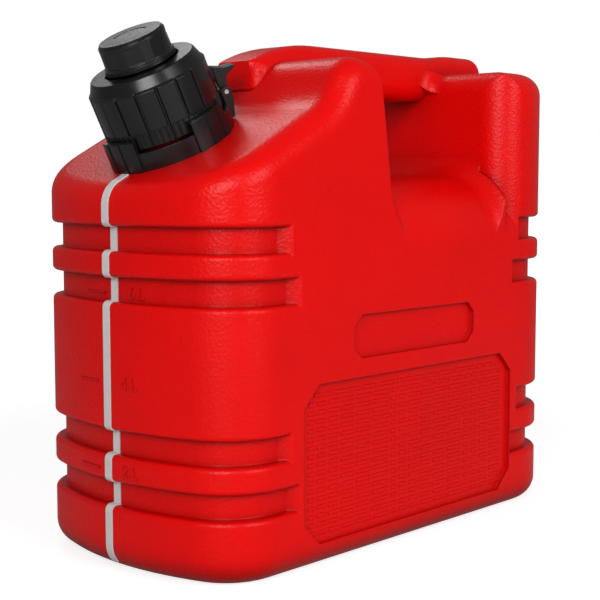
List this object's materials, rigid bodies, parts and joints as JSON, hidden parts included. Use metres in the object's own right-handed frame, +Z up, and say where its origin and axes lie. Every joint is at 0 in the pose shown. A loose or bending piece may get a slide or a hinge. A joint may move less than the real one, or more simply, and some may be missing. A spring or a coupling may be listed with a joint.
{
  "type": "portable fuel can",
  "caption": "Portable fuel can with a red ribbed tank, a carrying handle, a tilted neck, a black screw collar holding a stowed spout, a dust cap and a child lock lever.",
  "frame": {"origin": "centre of the bounding box's bottom face, on the floor under the tank", "axes": "+X to the right seen from the front, -Y the front with the tilted neck, +Y the rear, +Z up"},
  "size_m": [0.165, 0.3207, 0.2939],
  "materials": {
    "tank_red": "fine leather grain, satin",
    "stripe_pale": "translucent satin",
    "closure_black": "satin",
    "spout_black": "satin, flexible",
    "breather_black": "satin",
    "seal_rubber": "matte",
    "spring_steel": "bright"
  },
  "bodies": {
    "tank": {"tank_shell": "tank_red", "view_stripe": "stripe_pale", "lock_ring": "closure_black", "lever_pin": "spring_steel"},
    "lever": {"lock_lever": "closure_black", "lever_spring": "spring_steel"},
    "spout": {"spout_adapter": "closure_black", "spout_tube": "spout_black", "spout_nozzle": "spout_black", "breather_tube": "breather_black", "neck_gasket": "seal_rubber"},
    "collar": {"screw_collar": "closure_black"},
    "seal": {"cap_seal": "seal_rubber"},
    "cap": {"dust_cap": "closure_black"}
  },
  "joints": [
    {"name": "collar_lift", "type": "slide", "parent": "tank", "child": "spout", "axis": [0, -0.4617, 0.887], "range_m": [0, 0.008]},
    {"name": "collar_turn", "type": "hinge", "parent": "spout", "child": "collar", "pos_m": [0, -0.1125, 0.22923], "axis": [0, -0.4617, 0.887], "range_deg": [0, 722]},
    {"name": "cap_lift", "type": "slide", "parent": "spout", "child": "seal", "axis": [0, -0.4617, 0.887], "range_m": [0, 0.0045]},
    {"name": "cap_turn", "type": "hinge", "parent": "seal", "child": "cap", "pos_m": [0, -0.1125, 0.22923], "axis": [0, -0.4617, 0.887], "range_deg": [0, 541]},
    {"name": "lever_press", "type": "hinge", "parent": "tank", "child": "lever", "pos_m": [0.01572, -0.0898, 0.25863], "axis": [0.9063, -0.3749, -0.1951], "range_deg": [0, 6], "stiffness_Nm_per_rad": 0.05, "springref_deg": -11.46}
  ],
  "couplings": [
    {"joint": "collar_turn", "follows": "collar_lift", "rad_per_m": 1570.8},
    {"joint": "cap_turn", "follows": "cap_lift", "rad_per_m": 2094.4}
  ]
}
